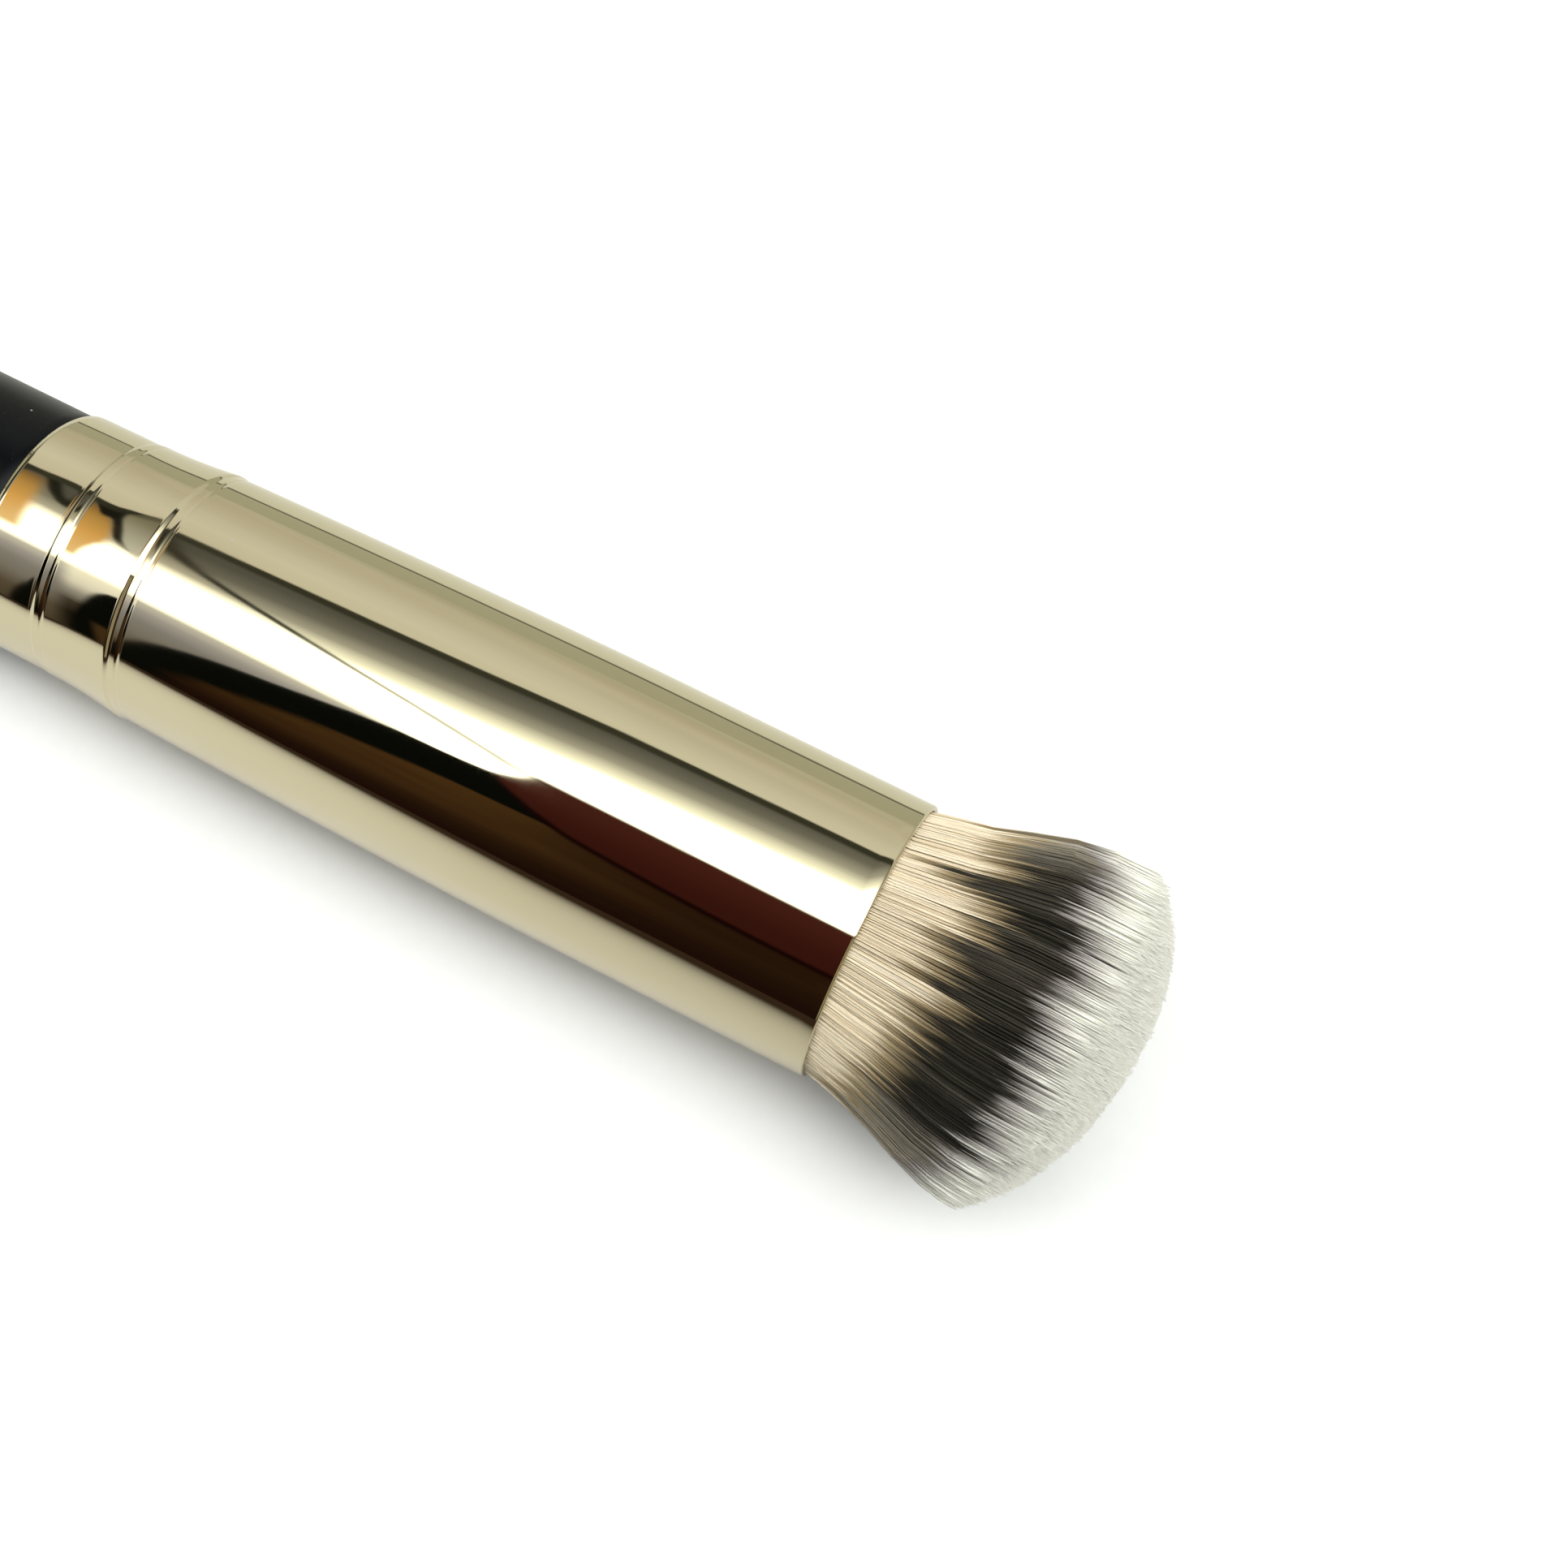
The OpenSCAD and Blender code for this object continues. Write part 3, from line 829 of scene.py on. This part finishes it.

# %% [markdown]
# ## Floor
#
# The brush lies on plain white paper, lit like the brush, so it keeps the soft shadow along the lower
# side. For mirror rays alone the paper carries painted shade and a painted reflection: the plating
# mirrors it as a warmer, dimmer sheet with painted dark towards the front, and behind the brush a
# painted shadow line along the paper's edge with a glowing, painted table beyond. So the plating
# mirrors more of the paper than the camera sees, and the sheet stays plain everywhere else.

# %% Floor
EDGE = 0.054  # how far behind the brush the mirrored sheet ends, in metres
paper, tree, shader, place = new_material("paper")
tree.nodes.remove(shader)
output = tree.nodes["Material Output"]
mirror_ray = tree.nodes.new("ShaderNodeLightPath").outputs["Is Glossy Ray"]
spot = node(tree, "ShaderNodeSeparateXYZ", {0: place}).outputs
# Painted shade: mirror rays see the paper run out into a dark glow towards the front.
towards_front = math(tree, "SUBTRACT", math(tree, "MULTIPLY", spot["X"], 0.8), spot["Y"])
front = math(tree, "MULTIPLY", step(tree, towards_front, 0.03, 0.20), mirror_ray)
# Painted shadow: a dark line along the paper's edge behind the brush, for mirror rays alone.
slope = math(tree, "MULTIPLY", spot["X"], 0.03)
past_edge = math(tree, "SUBTRACT", math(tree, "ADD", spot["Y"], slope), EDGE)
edge = step(tree, math(tree, "ABSOLUTE", past_edge), 0.0048, 0.0016)
edge = math(tree, "MULTIPLY", edge, math(tree, "MULTIPLY", mirror_ray, 0.8))
# Painted reflection: beyond that edge mirror rays see a glowing table.
painted_table_mask = math(tree, "MULTIPLY", step(tree, past_edge, 0.0, 0.0015), mirror_ray)
tooth = node(tree, "ShaderNodeTexNoise", {"Vector": place, "Scale": 900.0, "Detail": 3.0})
lit = mix(tree, tooth.outputs["Fac"], (0.90, 0.92, 0.915), (0.93, 0.95, 0.945))
# Painted shade: mirror rays see the paper dimmer and warmer than the camera does, and dimmer still behind
# the brush.
painted_shade_behind = step(tree, spot["Y"], -0.02, 0.012)
painted_mirror_shade = mix(tree, painted_shade_behind, (0.78, 0.77, 0.755), (0.64, 0.64, 0.575))
sheet = node(tree, "ShaderNodeBsdfDiffuse", {"Color": mix(tree, mirror_ray, lit, painted_mirror_shade)})
# Two glows, neither a lamp: a dark one paints the shade, a pale one paints the table's reflection.
painted_shade = node(tree, "ShaderNodeEmission", {"Color": (0.05, 0.03, 0.02), "Strength": 1.0})
painted_table_reflection = node(tree, "ShaderNodeEmission", {"Color": (0.57, 0.555, 0.445), "Strength": 1.0})
for where, shown in ((front, painted_shade), (painted_table_mask, painted_table_reflection), (edge, painted_shade)):
    layers = {0: where, 1: sheet.outputs[0], 2: shown.outputs[0]}
    sheet = node(tree, "ShaderNodeMixShader", layers)
tree.links.new(sheet.outputs[0], output.inputs["Surface"])
count_nodes(paper.name, tree)

# %% Lay the floor
REACH = 0.9
corners = [(-REACH, -REACH, 0), (REACH, -REACH, 0), (REACH, REACH, 0), (-REACH, REACH, 0)]
mesh = bpy.data.meshes.new("floor")
mesh.from_pydata(corners, [], [(0, 1, 2, 3)])
mesh.materials.append(paper)
floor = bpy.data.objects.new("floor", mesh)
bpy.context.scene.collection.objects.link(floor)
print("floor", 2 * REACH, "m wide")

# %% [markdown]
# ## Studio light
#
# Polished metal shows the room. Round the ferrule, from the front over the top to the back, the room
# has a dark front, a bright window of light overhead, a ceiling that falls off to grey, and a pale
# wall. They are bands of direction: one angle round the brush's axis and one along it. The world
# computes both angles from the direction of each ray, and lays the bands over each other. What is not
# polished gets the same light with a weight by direction: the window counts most, the front hardly at
# all, and the side beyond the head half as much as the rest. The weights shape the soft shadow and
# keep white surfaces just white.

# %% Angles of a ray in the world
world = bpy.data.worlds.new("studio")
bpy.context.scene.world = world
world.use_nodes = True
tree = world.node_tree
tree.nodes.clear()
direction = tree.nodes.new("ShaderNodeTexCoord").outputs["Generated"]


def part_along(axis):
    """How much of the ray's direction goes along an axis."""
    inputs = {0: direction, 1: tuple(axis)}
    return node(tree, "ShaderNodeVectorMath", inputs, operation="DOT_PRODUCT").outputs["Value"]


DEGREE = float(np.degrees(1))
sideways = math(tree, "ARCTAN2", part_along(-AXES[1]), part_along(AXES[2]))
around = math(tree, "MULTIPLY", sideways, DEGREE)
lengthwise = math(tree, "MULTIPLY", math(tree, "ARCSINE", part_along(AXES[0])), DEGREE)
endwise = math(tree, "MINIMUM", math(tree, "MAXIMUM", lengthwise, -45.0), 0.0)
clouds = node(tree, "ShaderNodeTexNoise", {"Vector": direction, "Scale": 5.0, "Detail": 3.0})
uneven = clouds.outputs["Fac"]
print("around: 0 above the axis, positive to the front; endwise: negative to the handle")

# %% Lines and masks between the bands


def scaled(value, low, high, start=0.0, end=1.0):
    """A straight way from start at low to end at high, held level beyond them."""
    inputs = {"Value": value, "From Min": low, "From Max": high, "To Min": start, "To Max": end}
    return node(tree, "ShaderNodeMapRange", inputs).outputs[0]


def bent(value, points):
    """A smooth line through points: the height that belongs to a value, level beyond both ends."""
    x, y = np.array(points, float).T
    low, high = y.min() - 1, y.max() + 1
    made = node(tree, "ShaderNodeFloatCurve", {"Value": scaled(value, x[0], x[-1])})
    heights = between(y, low, high)
    line_points = made.mapping.curves[0].points
    for place, height in zip(between(x, x[0], x[-1])[1:-1], heights[1:-1]):
        line_points.new(place, height)
    line_points[0].location = (0.0, heights[0])
    line_points[-1].location = (1.0, heights[-1])
    made.mapping.update()
    return scaled(made.outputs[0], 0.0, 1.0, low, high)


def past(value, border, softness):
    """1 where a value is beyond a border, 0 before it, soft between."""
    return step(tree, math(tree, "SUBTRACT", value, border), -softness, softness)


def both(*masks):
    """Where all masks are 1."""
    result = masks[0]
    for mask in masks[1:]:
        result = math(tree, "MULTIPLY", result, mask)
    return result


def without(mask):
    """Where a mask is 0."""
    return math(tree, "SUBTRACT", 1.0, mask)


def near_line(value, border, width):
    """1 on a line, fading out at a width on either side of it."""
    distance = math(tree, "ABSOLUTE", math(tree, "SUBTRACT", value, border))
    return step(tree, distance, width, 0.35 * width)


def ramp(value, stops):
    """Colours along a value: a soft ramp through (value, colour) stops, the lowest value first."""
    low, high = stops[0][0], stops[-1][0]
    made = node(tree, "ShaderNodeValToRGB", {"Fac": scaled(value, low, high)})
    elements = made.color_ramp.elements
    while len(elements) < len(stops):
        elements.new(0.5)
    for element, (at, colour) in zip(elements, stops):
        element.position = (at - low) / (high - low)
        element.color = (*colour, 1)
    return made.outputs[0]


# %% The room behind and overhead: a ceiling that brightens to a window, with a rounded dark rim
WINDOW = (4.1, 4.1, 4.08)
BLACK = (0.004, 0.005, 0.004)
shifted = math(tree, "ADD", around, math(tree, "MULTIPLY", math(tree, "ADD", endwise, 12.3), 1.15))
ceiling_stops = [
    (-50, (0.12, 0.12, 0.115)),
    (-40, (0.14, 0.14, 0.135)),
    (-30, (0.24, 0.235, 0.225)),
    (-20, (0.60, 0.59, 0.57)),
    (-10, (1.7, 1.7, 1.6)),
    (-5, WINDOW),
]
ceiling = ramp(shifted, ceiling_stops)
side_stops = [
    (-25, (0.20, 0.19, 0.17)),
    (-12, (0.35, 0.34, 0.31)),
    (-3, (0.75, 0.74, 0.70)),
    (8, WINDOW),
    (29, WINDOW),
    (35, (0.90, 0.89, 0.95)),
    (42, (0.55, 0.53, 0.62)),
    (50, (0.36, 0.35, 0.40)),
    (62, (0.29, 0.27, 0.28)),
    (75, (0.15, 0.12, 0.095)),
    (92, (0.10, 0.075, 0.055)),
]
left_stops = [
    (29, WINDOW),
    (35, (1.5, 1.48, 1.45)),
    (46, (1.15, 1.13, 1.15)),
    (54, (0.52, 0.50, 0.53)),
    (64, (0.08, 0.065, 0.05)),
    (75, (0.018, 0.013, 0.009)),
]
far_left = math(tree, "MULTIPLY", step(tree, endwise, -29.0, -33.0), step(tree, around, 29.0, 31.0))
room = mix(tree, far_left, ramp(around, side_stops), ramp(around, left_stops))
rim_line = [(-34, -28.0), (-22, -27.7), (-15, -27.2), (-10, -26.5), (-2.5, -24.5)]
rim_line += [(4, -22.2), (9, -20.1), (14, -18), (19, -15.9)]
rim_at = bent(around, rim_line)
room = mix(tree, past(endwise, rim_at, 0.2), room, ceiling)
rim_depth = both(step(tree, around, 20.0, -6.0, 0.7, 1.0), without(past(around, 19.0, 2.0)))
rim = both(near_line(endwise, rim_at, 0.75), rim_depth)
room = mix(tree, rim, room, (0.02, 0.02, 0.016))
count_nodes("room with its window", tree)

# %% Left of it: a warm patch, a dark wedge, and a second rounded form as the neck shows it
patch_line = [(-28, -30.5), (-20, -33.2), (-10, -34.6), (0, -35.0)]
patch_line += [(8, -33.8), (18, -32.2), (28, -31.5)]
patch_height = both(past(around, -26.0, 4.0), without(past(around, 26.0, 4.0)))
patch_length = both(past(endwise, bent(around, patch_line), 1.0), without(past(endwise, -28.5, 0.5)))
patch = both(patch_length, patch_height)
patch_stops = [
    (-28, (0.20, 0.11, 0.055)),
    (-14, (0.72, 0.42, 0.13)),
    (2, (1.10, 0.62, 0.20)),
    (26, (1.35, 0.95, 0.50)),
]
room = mix(tree, patch, room, ramp(around, patch_stops))
form_line = [(-50, -41.5), (-35, -34.8), (-30, -33.9), (-15, -35.2), (-4, -36.7), (1, -39.8)]
form_at = bent(around, form_line)
form = both(without(past(endwise, form_at, 0.4)), without(past(around, 1.0, 3.0)))
form_stops = [
    (-48, (0.17, 0.145, 0.10)),
    (-30, (0.34, 0.32, 0.26)),
    (-12, (0.66, 0.66, 0.64)),
    (2, (0.95, 0.95, 0.95)),
]
room = mix(tree, form, room, ramp(around, form_stops))
form_rim = both(near_line(endwise, form_at, 1.3), without(past(around, -2.0, 5.0)))
wedge_line = [(-35.5, -12), (-33.5, -20), (-31.5, -20), (-30.5, -24), (-28.5, -32)]
wedge = both(without(past(around, bent(endwise, wedge_line), 2.0)), past(endwise, form_at, 0.5))
wedge = both(wedge, without(past(endwise, -28.4, 0.5)))
room = mix(tree, math(tree, "MAXIMUM", form_rim, wedge), room, (0.015, 0.015, 0.012))
count_nodes("room with its left part", tree)

# %% The pale sheet behind, with the dark line along its edge
sheet_line = [(-45, -56), (-40, -47.5), (-34.7, -36.5), (-30, -32.5), (-27, -34.5)]
sheet_line += [(-20, -39), (-13.5, -45), (-5.5, -49), (0, -50)]
sheet_at = bent(endwise, sheet_line)
sheet_edge = near_line(around, math(tree, "ADD", sheet_at, 2.2), 5.0)
sheet_edge = both(sheet_edge, step(tree, endwise, -36, -27, 0.5, 1.0))
room = mix(tree, sheet_edge, room, (0.055, 0.055, 0.04))
sheet_stops = [
    (-95, (0.58, 0.565, 0.455)),
    (-79, (0.735, 0.675, 0.58)),
    (-63, (0.84, 0.805, 0.73)),
    (-50, (0.96, 0.925, 0.86)),
    (-38, (0.90, 0.85, 0.77)),
    (-30, (0.84, 0.77, 0.70)),
]
sheet = mix(tree, step(tree, uneven, 0.35, 0.7, 0.0, 0.3), ramp(around, sheet_stops), (0.96, 0.93, 0.88))
room = mix(tree, without(past(around, sheet_at, 1.0)), room, sheet)
count_nodes("room with the sheet", tree)

# %% The dark front: a rounded black shape with brown and red inside, and another one at the left
front_line = [(17, -15.4), (25, -16.1), (30, -17.2), (33.5, -20)]
front_line += [(43.5, -23.1), (54.5, -25.6), (67, -26.9), (92, -27.4)]
front = both(past(endwise, bent(around, front_line), 0.2), past(around, 17.5, 1.5))
room = mix(tree, front, room, BLACK)
brown_line = [(45, -10), (46.7, -13.8), (49.3, -17.0), (53, -19.3)]
brown_line += [(59, -21.8), (67, -23.4), (72, -24.6), (92, -25.2)]
wavy = math(tree, "MULTIPLY", math(tree, "SUBTRACT", uneven, 0.5), 3.0)
inside = past(math(tree, "ADD", endwise, wavy), bent(around, brown_line), 0.7)
warmth = both(step(tree, around, 90.0, 60.0), step(tree, uneven, 0.3, 0.7, 0.5, 1.0))
warmth = both(warmth, step(tree, endwise, -8, -19, 0.3, 1.0))
brown = mix(tree, warmth, (0.018, 0.007, 0.005), (0.092, 0.045, 0.016))
room = mix(tree, both(inside, past(around, 46.0, 1.5), front), room, brown)
red_line = [(-17.0, 22), (-16.6, 30), (-15.6, 37.5), (-14, 43.7), (-10, 50), (-5, 51)]
red_at = bent(endwise, red_line)
seam = both(near_line(around, red_at, 5.5), past(endwise, -15.5, 1.0), front)
room = mix(tree, seam, room, (0.012, 0.003, 0.003))
red = both(without(past(around, red_at, 1.5)), past(endwise, -16.6, 0.3), front)
redness = mix(tree, step(tree, around, 45, 20), (0.055, 0.012, 0.010), (0.085, 0.020, 0.015))
room = mix(tree, red, room, redness)
left_line = [(38, -43.5), (41, -40.5), (47.5, -36.6), (60, -34.7), (75, -33.3), (92, -32.6)]
left_front = both(without(past(endwise, bent(around, left_line), 0.7)), past(around, 39.0, 2.0))
room = mix(tree, left_front, room, BLACK)
left_brown = both(left_front, past(around, 74.0, 2.5), without(past(endwise, -36.0, 0.8)))
room = mix(tree, left_brown, room, (0.075, 0.042, 0.018))
count_nodes("room with its front", tree)

# %% Both ends of the room: the dark front stops at the head, and it gets dim far left and far right
far_front = both(step(tree, lengthwise, 1.0, 8.0), step(tree, around, 17.0, 21.0))
room = mix(tree, far_front, room, (0.40, 0.35, 0.25))
dim_right = step(tree, lengthwise, 10.0, 60.0, 1.0, 0.75)
dim_left = step(tree, lengthwise, -46.0, -56.0, 1.0, 0.12)
room = mix(tree, both(dim_right, dim_left), (0.0, 0.0, 0.0), room)
count_nodes("whole room", tree)

# %% Finish the world: the studio for light and mirrors, plain white for the camera
ray = tree.nodes.new("ShaderNodeLightPath").outputs
weight_line = [(-30, 1.14), (-10, 1.14), (-3, 2.12), (5, 2.20), (10, 0.66), (18, 0.05), (40, 0.03)]
weight = both(bent(around, weight_line), step(tree, lengthwise, 5.0, 45.0, 1.0, 0.5))
level = step(tree, ray["Is Diffuse Ray"], 0.0, 1.0, 1.0, weight)
studio = node(tree, "ShaderNodeBackground", {"Color": room, "Strength": level})
plain = node(tree, "ShaderNodeBackground", {"Color": (1, 1, 1, 1), "Strength": 1.0})
seen = {0: ray["Is Camera Ray"], 1: studio.outputs[0], 2: plain.outputs[0]}
chosen = node(tree, "ShaderNodeMixShader", seen)
output = tree.nodes.new("ShaderNodeOutputWorld")
tree.links.new(chosen.outputs[0], output.inputs["Surface"])
bpy.context.scene.view_settings.view_transform = "Standard"
count_nodes(world.name, tree)
